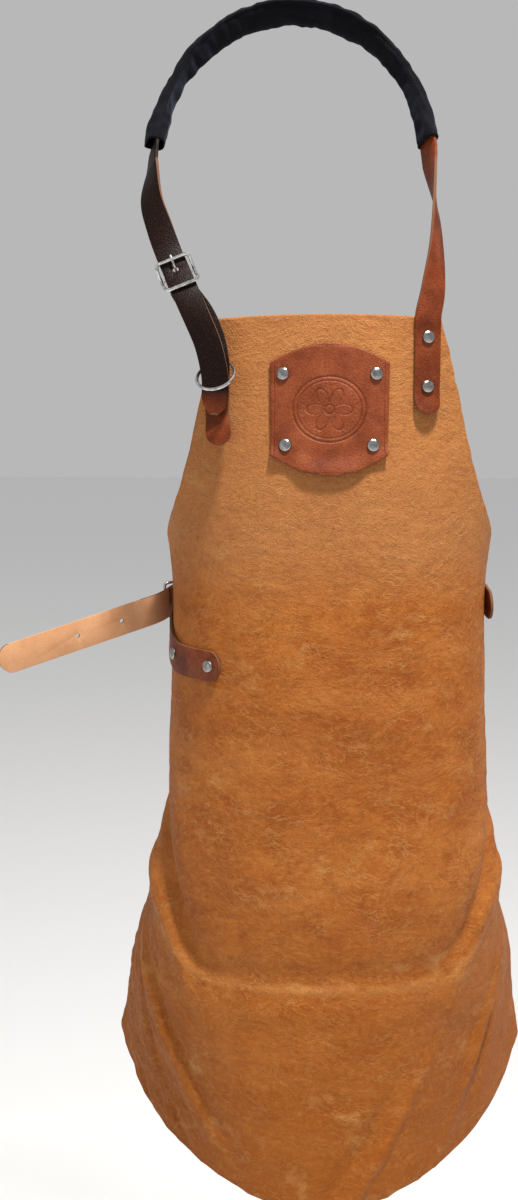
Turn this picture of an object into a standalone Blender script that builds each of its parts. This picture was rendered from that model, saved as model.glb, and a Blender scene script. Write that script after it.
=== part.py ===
"""Leather apron that hangs from a padded neck strap and closes with a buckled waist strap.

Metres, +Z up, the wearer's front faces -Y. The origin is the middle of the neck pad's inner face.
"""

from functools import lru_cache
from math import atan2, cos, pi, radians, sin, sqrt, tan

import bmesh
import bpy
import numpy as np
from mathutils import Matrix, Vector

# Apron panel
PANEL_X = 0.038
PANEL_Y = -0.122
PANEL_THICK = 0.0024
BIB_TOP = -0.288
BIB_TOP_HALF = 0.104
BIB_HEIGHT = 0.250
SKIRT_HALF = 0.310
HEM = -1.132
HEM_BOW = 0.017
CORNER_HEIGHT = 0.082
CORNER_INSET = 0.221
PANEL_DRIFT = -0.007

# How the panel wraps the body: height, depth of its middle, turn at the side, onset, ease.
WRAP_LEVELS = (
    (-0.287, 0.000, 85, 1.30, 1.0),
    (-0.437, -0.012, 122, 1.32, 1.0),
    (-0.547, -0.010, 147, 1.38, 1.0),
    (-0.717, -0.015, 140, 1.38, 1.0),
    (-0.847, -0.018, 102, 1.45, 1.3),
    (-0.937, -0.015, 76, 1.50, 2.2),
    (-1.137, -0.030, 53, 1.00, 3.0),
)

# Straps
STRAP_WIDTH = 0.025
STRAP_THICK = 0.0026
WAIST_WIDTH = 0.0295
ON_PANEL = PANEL_THICK / 2 + 0.0008 + STRAP_THICK / 2
WAIST_ON_PANEL = ON_PANEL + 0.0007

# Neck loop: an oval arch that leans back, with the band canted towards the neck
LOOP_HALF_WIDTH = 0.131
LOOP_HEIGHT = 0.163
LOOP_LEAN = radians(22)
BAND_CANT = radians(62)
LEFT_END_CANT = radians(118)
LEFT_TWIST_FROM = radians(45)
ARCH_END = radians(88)

# Neck pad sleeve
PAD_WIDTH = 0.0305
PAD_THICK = 0.0095
PAD_WALL = 0.0016
PAD_SEGMENTS = 19
PAD_STEP = radians(8.5)

# Rivets: a domed front cap with its post, and a back cap that takes the post
CAP_RADIUS = 0.006
CAP_HEIGHT = 0.0032
BACK_RADIUS = 0.0048
BACK_HEIGHT = 0.0030
BACK_GAP = 0.0009
POST_RADIUS = 0.0015
HOLE_RADIUS = 0.0019

# Buckles
FRAME_HALF_WIDTH = 0.0165
WAIST_FRAME_HALF_WIDTH = 0.0188
FRAME_HALF_LENGTH = 0.0145
FRAME_WIRE = 0.0016
BAR_RADIUS = 0.0015
END_BAR_RISE = 0.0044
BAR_DROP = 0.0062
FOLD_RADIUS = BAR_RADIUS + 0.0004 + STRAP_THICK / 2
PRONG_RADIUS = 0.0011
PRONG_EYE_HALF = 0.0016
PRONG_HOLE = 0.0030
PRONG_HOLE_AT = 0.0052

# Ring
RING_RADIUS = 0.0180
RING_WIRE = 0.0016
RING_CENTRE = Vector((-0.0668, -0.1278, -0.340))
RING_TILT = radians(40)
RING_ROLL = radians(16)

# Patch
PATCH_HALF = 0.0545
PATCH_HEIGHT = 0.084
PATCH_BOW = 0.018
PATCH_MIDDLE = -0.371
PATCH_THICK = 0.0024

# Places of the straps on the panel and in space
WAIST_FRONT_S = 0.106
WAIST_FRONT_Z = -0.617
WAIST_LEVEL_S = 0.165
WAIST_RISE = 0.046
WAIST_BUCKLE_S = 0.264
WAIST_BUCKLE_LIFT = ON_PANEL + FOLD_RADIUS + BAR_DROP + 0.0018
WAIST_RIGHT_S = 0.196
WAIST_RIGHT_Z = -0.568
WAIST_BACK_Z = -0.548
WAIST_SIDE_CLIMB = 0.010
TAIL_HINGE_Y = 0.0165
TAIL_LENGTH = 0.192
TAIL_BEND = 0.030
TAIL_HEADING = radians(-152)
TAIL_FALL = radians(14)
TAIL_HOLES = (0.060, 0.110)

RIGHT_STRAP_S = 0.090
LEFT_RIVET_S = -0.1065
LEFT_RIVET_Z = -0.362

NECK_BUCKLE = Vector((-0.1030, -0.1060, -0.2475))
BUCKLE_DOWN = Vector((0.388, -0.428, -0.816)).normalized()
BUCKLE_TURN = -8

LEATHER = (0.50, 0.25, 0.09, 1.0)
STRAP_LEATHER = (0.28, 0.11, 0.05, 1.0)
PATCH_LEATHER = (0.36, 0.15, 0.07, 1.0)
TAN_LEATHER = (0.62, 0.42, 0.24, 1.0)
PAD_FABRIC = (0.02, 0.02, 0.03, 1.0)
NICKEL = (0.72, 0.72, 0.70, 1.0)


# ---------------------------------------------------------------- scene and materials


def clear_scene():
    for obj in list(bpy.data.objects):
        bpy.data.objects.remove(obj)


def make_collections():
    apron = bpy.data.collections.new("leather_apron")
    cutters = bpy.data.collections.new("cutters")
    bpy.context.scene.collection.children.link(apron)
    bpy.context.scene.collection.children.link(cutters)
    cutters.hide_render = True
    return apron, cutters


@lru_cache(maxsize=None)
def material(name, colour, metallic, roughness):
    made = bpy.data.materials.new(name)
    made.use_nodes = True
    shader = made.node_tree.nodes["Principled BSDF"]
    shader.inputs["Base Color"].default_value = colour
    shader.inputs["Metallic"].default_value = metallic
    shader.inputs["Roughness"].default_value = roughness
    return made


def finish_object(obj, colour, metallic=0.0, roughness=0.6):
    """Gives the object a material of its own and puts it with the apron's parts."""
    obj.data.materials.append(material(obj.name, colour, metallic, roughness))
    for old in list(obj.users_collection):
        old.objects.unlink(obj)
    APRON.objects.link(obj)
    return obj


def mesh_object(name, verts, faces, smooth=True):
    mesh = bpy.data.meshes.new(name)
    mesh.from_pydata([tuple(v) for v in verts], [], faces)
    mesh.validate()
    obj = bpy.data.objects.new(name, mesh)
    bpy.context.scene.collection.objects.link(obj)
    if smooth:
        for face in mesh.polygons:
            face.use_smooth = True
    return obj


def set_origin(obj, point):
    """Puts the object's origin on its joint's axis and leaves its shape where it is."""
    obj.data.transform(Matrix.Translation(-Vector(point)))
    obj.location = point


def make_cutter(obj):
    """Moves an object to the cutters and hides it from renders."""
    obj.hide_render = True
    obj.display_type = "WIRE"
    for old in list(obj.users_collection):
        old.objects.unlink(obj)
    CUTTERS.objects.link(obj)
    return obj


def cut(obj, cutter):
    boolean = obj.modifiers.new("cut_" + cutter.name, "BOOLEAN")
    boolean.operation = "DIFFERENCE"
    boolean.solver = "EXACT"
    boolean.object = cutter


# ---------------------------------------------------------------- the wrapped panel surface


def wrap_values(z):
    """Depth, turn, onset and ease at a height, eased between the levels."""
    levels = np.array(WRAP_LEVELS)[::-1]
    near = z + np.linspace(-0.03, 0.03, 7)
    return [float(np.interp(near, levels[:, 0], levels[:, i]).mean()) for i in range(1, 5)]


@lru_cache(maxsize=None)
def walk(z):
    """Distance along the panel from its middle, with the x, y and turn reached there."""
    depth, turn, onset, ease = wrap_values(z)
    s = np.linspace(0, SKIRT_HALF * 1.01, 260)
    part = np.minimum(s / SKIRT_HALF, 1)
    angle = radians(turn) * (1 - (1 - part**onset) ** ease)
    step = s[1]
    x = np.concatenate([[0], np.cumsum((np.cos(angle[1:]) + np.cos(angle[:-1])) / 2 * step)])
    y = np.concatenate([[0], np.cumsum((np.sin(angle[1:]) + np.sin(angle[:-1])) / 2 * step)])
    return s, x, depth + y, angle


def turn_at(s, z):
    table = walk(round(z, 4))
    return float(np.interp(abs(s), table[0], table[3]))


def middle_point(s, z):
    """Point of the panel's middle surface."""
    table = walk(round(z, 4))
    side = 1 if s >= 0 else -1
    x = float(np.interp(abs(s), table[0], table[1]))
    y = float(np.interp(abs(s), table[0], table[2]))
    drift = PANEL_DRIFT * min(max((-0.80 - z) / 0.20, 0), 1)
    return Vector((PANEL_X + drift + side * x, PANEL_Y + y, z))


def outward(s, z):
    """Outward normal of the panel."""
    across = middle_point(s + 0.003, z) - middle_point(s - 0.003, z)
    up = middle_point(s, z + 0.006) - middle_point(s, z - 0.006)
    return across.cross(up).normalized()


def on_panel(s, z, lift=0.0):
    """Point of the panel's middle surface, or a distance in front of it."""
    return middle_point(s, z) + outward(s, z) * lift


def turn_degrees(s, z):
    return turn_at(s, z) * 180 / pi


def panel_half_width(z):
    """Half the panel's width, measured along the leather."""
    down = min(max((BIB_TOP - z) / BIB_HEIGHT, 0), 1)
    half = BIB_TOP_HALF + (SKIRT_HALF - BIB_TOP_HALF) * (0.36 * down + 0.64 * down**6)
    above = min(max((z - HEM) / CORNER_HEIGHT, 0), 1)
    return half - CORNER_INSET * (1 - above**0.60)


def build_panel():
    rows = 36
    columns = 40
    verts = []
    for i in range(rows + 1):
        down = 1 - (1 - i / rows) ** 1.35
        z = BIB_TOP + (HEM - BIB_TOP) * down
        half = panel_half_width(z)
        for j in range(columns + 1):
            across = 2 * j / columns - 1
            bow = 0.004 * (1 - down) ** 8 * (1 - across**2) - HEM_BOW * down**12 * (1 - across**2)
            verts.append(on_panel(half * across, z + bow))
    faces = []
    for i in range(rows):
        for j in range(columns):
            a = i * (columns + 1) + j
            faces.append((a, a + columns + 1, a + columns + 2, a + 1))
    panel = mesh_object("apron_panel", verts, faces)
    solidify = panel.modifiers.new("leather", "SOLIDIFY")
    solidify.thickness = PANEL_THICK
    solidify.offset = 0
    return finish_object(panel, LEATHER)


# ---------------------------------------------------------------- ribbons


def smooth_path(points, count):
    """Evenly spaced points of a Catmull-Rom curve through the given ones."""
    pts = np.array([list(p) for p in points], float)
    ends = np.vstack([2 * pts[0] - pts[1], pts, 2 * pts[-1] - pts[-2]])
    dense = []
    for a, b, c, d in zip(ends, ends[1:], ends[2:], ends[3:]):
        for t in np.linspace(0, 1, 24, endpoint=False):
            dense.append(
                0.5 * (2 * b + (c - a) * t + (2 * a - 5 * b + 4 * c - d) * t**2)
                + 0.5 * (3 * b - 3 * c + d - a) * t**3
            )
    dense = np.array(dense + [pts[-1]])
    lengths = np.linalg.norm(np.diff(dense[:, :3], axis=0), axis=1)
    travel = np.concatenate([[0], np.cumsum(lengths)])
    even = np.linspace(0, travel[-1], count)
    return np.stack([np.interp(even, travel, dense[:, i]) for i in range(pts.shape[1])], axis=1)


def end_taper(distance, round_length):
    """Part of the full width at a distance from a rounded end."""
    if round_length <= 0 or distance >= round_length:
        return 1.0
    rest = 1 - distance / round_length
    return max(sqrt(max(1 - rest**2, 0)), 0.24)


def finer_ends(stations, rounds):
    """Adds stations near the rounded ends, so that each end is drawn as an arc."""
    points = [Vector(p) for p, _ in stations]
    travel = [0.0]
    for a, b in zip(points, points[1:]):
        travel.append(travel[-1] + (b - a).length)
    wanted = [rounds[0] * part for part in (0.07, 0.22, 0.45, 0.75)]
    wanted += [travel[-1] - rounds[1] * part for part in (0.75, 0.45, 0.22, 0.07)]
    rows = list(zip(travel, points, (Vector(n) for _, n in stations)))
    for distance in wanted:
        if min(abs(distance - row[0]) for row in rows) < 0.0006:
            continue
        k = next(i for i, row in enumerate(rows) if row[0] > distance)
        before, after = rows[k - 1], rows[k]
        part = (distance - before[0]) / (after[0] - before[0])
        point = before[1].lerp(after[1], part)
        rows.insert(k, (distance, point, before[2].lerp(after[2], part).normalized()))
    return [(point, outer) for _, point, outer in rows]


def ribbon(name, stations, rounds=(0.0, 0.0), width=STRAP_WIDTH, thick=STRAP_THICK):
    """Strap through (point, outward) stations. rounds gives each end's rounding length."""
    stations = finer_ends(stations, rounds)
    points = [Vector(p) for p, _ in stations]
    travel = [0.0]
    for a, b in zip(points, points[1:]):
        travel.append(travel[-1] + (b - a).length)
    verts = []
    last = len(points) - 1
    for i, (point, outer) in enumerate(stations):
        along = (points[min(i + 1, last)] - points[max(i - 1, 0)]).normalized()
        across = along.cross(Vector(outer)).normalized()
        part = end_taper(travel[i], rounds[0])
        part *= end_taper(travel[-1] - travel[i], rounds[1])
        for j in (-1, 0, 1):
            verts.append(Vector(point) + across * (width / 2 * part * j))
    faces = []
    for i in range(last):
        for j in range(2):
            a = i * 3 + j
            faces.append((a, a + 1, a + 4, a + 3))
    strap = mesh_object(name, verts, faces)
    solidify = strap.modifiers.new("leather", "SOLIDIFY")
    solidify.thickness = thick
    solidify.offset = 0
    return strap


# ---------------------------------------------------------------- rivets


def axis_matrix(point, axis, side=None):
    """Matrix that puts +Z along the axis at a point, with +X as near the side as it goes."""
    z = Vector(axis).normalized()
    side = Vector(side) if side is not None else Vector((0, 0, 1))
    x = (side - z * side.dot(z)).normalized()
    y = z.cross(x)
    turned = Matrix((x, y, z)).transposed().to_4x4()
    turned.translation = Vector(point)
    return turned


def spun(name, profile, matrix, steps=18):
    """Turned solid. The profile lists radius and height from the top down its outer side."""
    verts = [(r, 0, h) for r, h in profile]
    edges = [(i, i + 1) for i in range(len(profile) - 1)]
    mesh = bpy.data.meshes.new(name)
    mesh.from_pydata(verts, edges, [])
    obj = bpy.data.objects.new(name, mesh)
    bpy.context.scene.collection.objects.link(obj)
    obj.matrix_world = matrix
    screw = obj.modifiers.new("turn", "SCREW")
    screw.steps = steps
    screw.render_steps = steps
    screw.use_merge_vertices = True
    screw.merge_threshold = 0.00005
    screw.use_smooth_shade = True
    return obj


def cylinder_cutter(name, point, axis, radius, length, steps=16):
    profile = [(0, length / 2), (radius, length / 2), (radius, -length / 2), (0, -length / 2)]
    return make_cutter(spun(name, profile, axis_matrix(point, axis), steps))


def dome_profile(radius, height, post_end):
    """Domed cap with a flat underside and a post below it."""
    rim = 0.0007
    arc = [radians(a) for a in (90, 68, 46, 23, 0)]
    dome = [(radius * cos(a), rim + (height - rim) * sin(a)) for a in arc]
    dome[0] = (0, height)
    return dome + [(radius, 0), (POST_RADIUS, 0), (POST_RADIUS, -post_end), (0, -post_end)]


def back_profile(radius, height, post_depth):
    """Low domed back cap, seen with its open side up, with a hole for the post."""
    bore = POST_RADIUS + 0.0003
    return [
        (0, -post_depth - 0.0004),
        (bore, -post_depth - 0.0004),
        (bore, 0),
        (radius, 0),
        (radius, -0.0007),
        (radius * 0.86, -height * 0.62),
        (radius * 0.55, -height * 0.9),
        (0, -height),
    ]


def rivet(name, s, z, front_lift, radius=CAP_RADIUS, holes=()):
    """Front cap with post, back cap, and a clearance hole through each named layer."""
    axis = outward(s, z)
    post = front_lift + PANEL_THICK / 2 + BACK_GAP + 0.0016
    front = axis_matrix(on_panel(s, z, front_lift), axis)
    cap = spun(name + "_cap", dome_profile(radius, CAP_HEIGHT, post), front)
    finish_object(cap, NICKEL, 1.0, 0.22)
    behind = axis_matrix(on_panel(s, z, -PANEL_THICK / 2 - BACK_GAP), axis)
    back = spun(name + "_back", back_profile(BACK_RADIUS, BACK_HEIGHT, 0.0016), behind)
    finish_object(back, NICKEL, 1.0, 0.3)
    middle = on_panel(s, z, front_lift / 2)
    hole = cylinder_cutter(name + "_hole", middle, axis, HOLE_RADIUS, 0.016)
    for layer in holes:
        cut(layer, hole)


# ---------------------------------------------------------------- patch


def build_patch(panel):
    rows = 12
    columns = 12
    lift = PANEL_THICK / 2 + 0.0005 + PATCH_THICK / 2
    verts = []
    for i in range(rows + 1):
        for j in range(columns + 1):
            across = 2 * j / columns - 1
            up = 1 - 2 * i / rows
            bow = PATCH_BOW * (1 - across**2) * up
            narrow = 1 - 0.012 * (1 - up)
            z = PATCH_MIDDLE + up * PATCH_HEIGHT / 2 + bow
            verts.append(on_panel(PATCH_HALF * across * narrow, z, lift))
    faces = []
    for i in range(rows):
        for j in range(columns):
            a = i * (columns + 1) + j
            faces.append((a, a + columns + 1, a + columns + 2, a + 1))
    patch = mesh_object("logo_patch", verts, faces)
    solidify = patch.modifiers.new("leather", "SOLIDIFY")
    solidify.thickness = PATCH_THICK
    solidify.offset = 0
    finish_object(patch, PATCH_LEATHER)
    cap_lift = lift + PATCH_THICK / 2 + 0.0003
    corners = (("top_left", -1, 1), ("top_right", 1, 1))
    corners += (("bottom_left", -1, -1), ("bottom_right", 1, -1))
    for label, side, up in corners:
        s = side * (0.0425 if up > 0 else 0.040)
        z = PATCH_MIDDLE + up * 0.0325
        rivet("patch_rivet_" + label, s, z, cap_lift, holes=(panel, patch))
    return patch


# ---------------------------------------------------------------- neck loop


def arch_frame(angle):
    """Point, outward radius and axis of the neck arch, measured from its crown."""
    up = Vector((0, sin(LOOP_LEAN), cos(LOOP_LEAN)))
    back = Vector((0, cos(LOOP_LEAN), -sin(LOOP_LEAN)))
    across = Vector((1, 0, 0))
    point = ARCH_CENTRE + across * (LOOP_HALF_WIDTH * sin(angle)) + up * (LOOP_HEIGHT * cos(angle))
    radial = across * (LOOP_HEIGHT * sin(angle)) + up * (LOOP_HALF_WIDTH * cos(angle))
    return point, radial.normalized(), back


def band_cant(angle):
    """Cant of the band: even, but for the left end, where it turns to face the front."""
    part = min(max((-angle - LEFT_TWIST_FROM) / (ARCH_END - LEFT_TWIST_FROM), 0), 1)
    return BAND_CANT + (LEFT_END_CANT - BAND_CANT) * part


def band_outer(angle):
    """Outward side of the canted band: away from the neck."""
    _, radial, back = arch_frame(angle)
    cant = band_cant(angle)
    return back * cos(cant) + radial * sin(cant)


def arch_centre():
    up = Vector((0, sin(LOOP_LEAN), cos(LOOP_LEAN)))
    back = Vector((0, cos(LOOP_LEAN), -sin(LOOP_LEAN)))
    outer = back * cos(BAND_CANT) + up * sin(BAND_CANT)
    chord = LOOP_HEIGHT * cos(PAD_STEP / 2)
    return -up * chord + outer * (PAD_THICK / 2)


def facing(side, turn):
    """Horizontal direction that turns from the front to the given side and on to the back."""
    return Vector((side * sin(turn), -cos(turn), 0))


def leg_stations(guides, side, count):
    """Strap stations through guides of (x, y, z, turn in degrees)."""
    path = smooth_path(guides, count)
    return [(Vector(p[:3]), facing(side, radians(p[3]))) for p in path]


def arch_stations(start, end, count):
    found = []
    for angle in np.linspace(start, end, count):
        point, _, _ = arch_frame(float(angle))
        found.append((point, band_outer(float(angle))))
    return found


def arch_turn(side):
    """Turn of the band's outward side where the arch meets a leg, in degrees."""
    outer = band_outer(side * ARCH_END)
    return atan2(side * outer.x, -outer.y) * 180 / pi


def right_leg():
    """From the arch down to the rivets on the bib's right corner."""
    start, _, _ = arch_frame(ARCH_END)
    guides = [
        (start.x, start.y, start.z, arch_turn(1)),
        (0.1355, -0.0765, -0.183, 80),
        (0.1360, -0.0930, -0.225, 56),
        (0.1325, -0.1080, -0.262, 28),
    ]
    lifts = ((-0.284, 0.0012), (-0.298, 0), (-0.312, 0), (-0.328, 0), (-0.344, 0), (-0.359, 0))
    for z, lift in lifts + ((-0.376, 0.005),):
        point = on_panel(RIGHT_STRAP_S, z, ON_PANEL + lift)
        guides.append((point.x, point.y, point.z, turn_degrees(RIGHT_STRAP_S, z)))
    return leg_stations(guides, 1, 54)


def left_leg():
    """From the arch down through the buckle and the ring to the free tip."""
    start, _, _ = arch_frame(-ARCH_END)
    guides = [
        (start.x, start.y, start.z, arch_turn(-1)),
        (-0.1305, -0.0735, -0.176, 32),
        (-0.1215, -0.0870, -0.204, 10),
    ]
    for travel in (-0.024, -0.014, 0, 0.014, 0.024):
        point = NECK_BUCKLE + BUCKLE_DOWN * travel
        guides.append((point.x, point.y, point.z, BUCKLE_TURN))
    guides += [
        (-0.0840, -0.1265, -0.287, 8),
        (-0.0735, -0.1295, -0.312, 10),
        (-0.0675, -0.1278, -0.340, 4),
        (-0.0675, -0.1265, -0.360, 2),
        (-0.0685, -0.1262, -0.376, 2),
    ]
    return leg_stations(guides, -1, 62)


def build_neck_strap(panel):
    left = left_leg()[::-1]
    arch = arch_stations(-ARCH_END, ARCH_END, 42)
    strap = ribbon("neck_strap", left + arch[1:-1] + right_leg(), rounds=(0.020, 0.0125))
    finish_object(strap, STRAP_LEATHER)
    lift = ON_PANEL + STRAP_THICK / 2 + 0.0003
    rivet("neck_rivet_upper", RIGHT_STRAP_S, -0.305, lift, holes=(panel, strap))
    rivet("neck_rivet_lower", RIGHT_STRAP_S, -0.350, lift, holes=(panel, strap))
    return strap


def build_pad():
    """Sleeve swept round the arch. Its flats on the inner side take the neck."""
    half_width = PAD_WIDTH / 2
    half_thick = PAD_THICK / 2
    chamfer = 0.003
    section = (
        (half_width - chamfer, -half_thick),
        (half_width, -half_thick + chamfer),
        (half_width, half_thick - chamfer),
        (half_width - chamfer, half_thick),
        (chamfer - half_width, half_thick),
        (-half_width, half_thick - chamfer),
        (-half_width, -half_thick + chamfer),
        (chamfer - half_width, -half_thick),
    )
    verts = []
    for i in range(PAD_SEGMENTS + 1):
        angle = (i - PAD_SEGMENTS / 2) * PAD_STEP
        point, radial, back = arch_frame(angle)
        cant = band_cant(angle)
        wide = radial * cos(cant) - back * sin(cant)
        outer = band_outer(angle)
        for w, t in section:
            verts.append(point + wide * w + outer * t)
    faces = []
    sides = len(section)
    for i in range(PAD_SEGMENTS):
        for j in range(sides):
            a = i * sides + j
            b = i * sides + (j + 1) % sides
            faces.append((a, a + sides, b + sides, b))
    pad = mesh_object("neck_pad", verts, faces, smooth=False)
    solidify = pad.modifiers.new("wall", "SOLIDIFY")
    solidify.thickness = PAD_WALL
    solidify.offset = -1
    solidify.use_even_offset = True
    set_origin(pad, ARCH_CENTRE)
    return finish_object(pad, PAD_FABRIC, roughness=0.9)


# ---------------------------------------------------------------- buckles


def tube(name, points, radius, closed=False, sides=3):
    """Round wire through the points, as a mesh."""
    curve = bpy.data.curves.new(name, "CURVE")
    curve.dimensions = "3D"
    curve.bevel_depth = radius
    curve.bevel_resolution = sides
    curve.use_fill_caps = not closed
    spline = curve.splines.new("POLY")
    spline.points.add(len(points) - 1)
    for target, point in zip(spline.points, points):
        target.co = (*point, 1)
    spline.use_cyclic_u = closed
    maker = bpy.data.objects.new(name + "_curve", curve)
    bpy.context.scene.collection.objects.link(maker)
    bpy.context.view_layer.update()
    graph = bpy.context.evaluated_depsgraph_get()
    mesh = bpy.data.meshes.new_from_object(maker.evaluated_get(graph))
    bpy.data.objects.remove(maker)
    shape = bmesh.new()
    shape.from_mesh(mesh)
    bmesh.ops.remove_doubles(shape, verts=shape.verts, dist=1e-6)
    bmesh.ops.recalc_face_normals(shape, faces=shape.faces)
    for face in shape.faces:
        face.smooth = True
    shape.to_mesh(mesh)
    shape.free()
    obj = bpy.data.objects.new(name, mesh)
    bpy.context.scene.collection.objects.link(obj)
    return obj


def union(obj, other):
    boolean = obj.modifiers.new("join_" + other.name, "BOOLEAN")
    boolean.operation = "UNION"
    boolean.solver = "EXACT"
    boolean.object = other
    make_cutter(other)


def frame_outline(wide):
    """Closed outline of a centre-bar buckle: its end bars stand proud of its sides."""
    corner = 0.0045
    pts = []
    high = FRAME_HALF_LENGTH
    for quarter in range(4):
        middle_x = (wide - corner) * (1 if quarter in (0, 3) else -1)
        middle_y = (high - corner) * (1 if quarter in (0, 1) else -1)
        for k in range(6):
            a = radians(90 * quarter + 18 * k)
            pts.append((middle_x + corner * cos(a), middle_y + corner * sin(a)))
        if quarter in (0, 2):
            continue
        side = -wide if quarter == 1 else wide
        sign = -1 if quarter == 1 else 1
        for y in (-0.006, -0.003, 0.0, 0.003, 0.006):
            pts.append((side, sign * y))
    found = []
    for x, y in pts:
        rise = min(abs(y) / high, 1)
        bend = rise * rise * (3 - 2 * rise)
        found.append(Vector((x, y, -BAR_DROP + (BAR_DROP + END_BAR_RISE) * bend)))
    return found


def build_buckle(prefix, matrix, wide):
    """Centre-bar frame and prong. Local +Y runs along the strap, +Z outward."""
    outline = [matrix @ p for p in frame_outline(wide)]
    frame = tube(prefix + "_buckle_frame", outline, FRAME_WIRE, closed=True)
    ends = [matrix @ Vector((side * wide, 0, -BAR_DROP)) for side in (-1, 1)]
    bar = tube(prefix + "_centre_bar", ends, BAR_RADIUS)
    union(frame, bar)
    hinge = matrix @ Vector((0, 0, -BAR_DROP))
    set_origin(frame, hinge)
    finish_object(frame, NICKEL, 1.0, 0.2)
    local = [(0.0035, -0.0040), (0.0046, -0.0018), (0.0056, 0.0008), (0.0076, 0.0036)]
    local += [(0.0108, 0.0056), (0.0145, 0.0073), (0.0172, 0.0072)]
    path = smooth_path([(0, y, z) for y, z in [(0.0021, -0.0058)] + local], 15)
    prong = tube(prefix + "_buckle_prong", [matrix @ Vector(p) for p in path], PRONG_RADIUS)
    half = PRONG_EYE_HALF
    inner = BAR_RADIUS + 0.0003
    outer = inner + 0.0014
    loop = [(outer, half), (outer, -half), (inner, -half), (inner, half), (outer, half)]
    eye_axis = matrix @ axis_matrix((0, 0, -BAR_DROP), (1, 0, 0))
    eye = spun(prefix + "_prong_eye", loop, eye_axis)
    bore = [(0, half * 3), (inner, half * 3), (inner, -half * 3), (0, -half * 3)]
    union(prong, eye)
    cut(prong, make_cutter(spun(prefix + "_prong_bore", bore, eye_axis)))
    set_origin(prong, hinge)
    finish_object(prong, NICKEL, 1.0, 0.2)


def prong_hole(prefix, matrix, strap):
    """Hole in the strap for the prong."""
    point = matrix @ Vector((0, PRONG_HOLE_AT, 0))
    axis = matrix.to_3x3() @ Vector((0, 0, 1))
    cut(strap, cylinder_cutter(prefix + "_prong_hole", point, axis, PRONG_HOLE, 0.006))


def fold_slot(prefix, matrix, strap):
    """Slot in the folded strap end that lets the prong's eye reach the centre bar."""
    size = Vector((0.0060, 0.0200, 0.0130))
    middle = Vector((0, -0.0035, -0.0072))
    corners = []
    for k in range(8):
        offset = [size[i] / 2 * (1 if k >> i & 1 else -1) for i in range(3)]
        corners.append(matrix @ (middle + Vector(offset)))
    sides = [(0, 2, 3, 1), (4, 5, 7, 6), (0, 1, 5, 4), (2, 6, 7, 3), (0, 4, 6, 2), (1, 3, 7, 5)]
    slot = mesh_object(prefix + "_fold_slot", corners, sides, smooth=False)
    cut(strap, make_cutter(slot))


def fold_stations(matrix, flap):
    """Strap end that leaves along local -Y: its flap, then the turn round the centre bar."""
    drop = BAR_DROP
    found = []
    for y in np.linspace(-flap, -0.001, 5):
        found.append((Vector((0, y, FOLD_RADIUS - drop)), Vector((0, 0, 1))))
    for angle in np.linspace(90, -90, 13):
        a = radians(float(angle))
        ray = Vector((0, cos(a), sin(a)))
        found.append((ray * FOLD_RADIUS + Vector((0, 0, -drop)), ray))
    turned = matrix.to_3x3()
    return [(matrix @ p, turned @ n) for p, n in found]


def build_neck_buckle_strap(panel, matrix):
    """From the fold round the buckle's bar down to the rivet on the bib and the free end."""
    fold = fold_stations(matrix, 0.014)
    clamp = on_panel(LEFT_RIVET_S, LEFT_RIVET_Z, ON_PANEL)
    lean = turn_degrees(LEFT_RIVET_S, LEFT_RIVET_Z)
    under = [matrix @ Vector((0, y, -FOLD_RADIUS - BAR_DROP)) for y in (0, -0.005, -0.010, -0.016)]
    guides = [(p.x, p.y, p.z, BUCKLE_TURN) for p in under]
    guides += [
        (-0.0815, -0.1115, -0.284, 4),
        (-0.0715, -0.1195, -0.305, 6),
        (-0.0668, -0.1250, -0.328, 0),
        (clamp.x, clamp.y - 0.0056, clamp.z + 0.018, lean * 0.6),
        (clamp.x, clamp.y, clamp.z + 0.006, lean),
        (clamp.x, clamp.y, clamp.z, lean),
        (clamp.x + 0.0003, clamp.y, clamp.z - 0.007, lean),
        (-0.0650, -0.1225, -0.386, lean * 0.8),
        (-0.0640, -0.1265, -0.404, lean * 0.6),
    ]
    leg = leg_stations(guides, -1, 44)
    flipped = [(p, -n) for p, n in fold]
    stations = flipped + [(p, n) for p, n in leg[1:]]
    strap = ribbon("neck_buckle_strap", same_side(stations), rounds=(0.0, 0.0125))
    finish_object(strap, STRAP_LEATHER)
    fold_slot("neck", matrix, strap)
    lift = ON_PANEL + STRAP_THICK / 2 + 0.0003
    rivet("buckle_strap_rivet", LEFT_RIVET_S, LEFT_RIVET_Z, lift, radius=0.005, holes=(panel, strap))
    return strap


def same_side(stations):
    """Stations whose outward sides follow on from each other without a jump."""
    found = [stations[0]]
    points = [Vector(p) for p, _ in stations]
    last = len(points) - 1

    def across(i, outer):
        along = (points[min(i + 1, last)] - points[max(i - 1, 0)]).normalized()
        return along.cross(Vector(outer)).normalized()

    before = across(0, stations[0][1])
    for i in range(1, last + 1):
        point, outer = stations[i]
        now = across(i, outer)
        if now.dot(before) < 0:
            outer = -Vector(outer)
            now = -now
        found.append((point, outer))
        before = now
    return found


# ---------------------------------------------------------------- ring


def build_ring():
    steps = 40
    tilt = Matrix.Rotation(RING_TILT, 4, "X")
    roll = Matrix.Rotation(-RING_ROLL, 4, "Y")
    matrix = Matrix.Translation(RING_CENTRE) @ roll @ tilt
    circle = [2 * pi * k / steps for k in range(steps)]
    points = [matrix @ Vector((RING_RADIUS * cos(a), RING_RADIUS * sin(a), 0)) for a in circle]
    ring = tube("keeper_ring", points, RING_WIRE, closed=True)
    set_origin(ring, RING_CENTRE)
    return finish_object(ring, NICKEL, 1.0, 0.15)


# ---------------------------------------------------------------- waist


def waist_height(s):
    """Height of the waist tab: level at the front, then up the side to the buckle."""
    part = 0.9 * max((abs(s) - WAIST_LEVEL_S) / (WAIST_BUCKLE_S - WAIST_LEVEL_S), 0)
    return WAIST_FRONT_Z + WAIST_RISE * part * part * (3 - 2 * part) / 0.972


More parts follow.
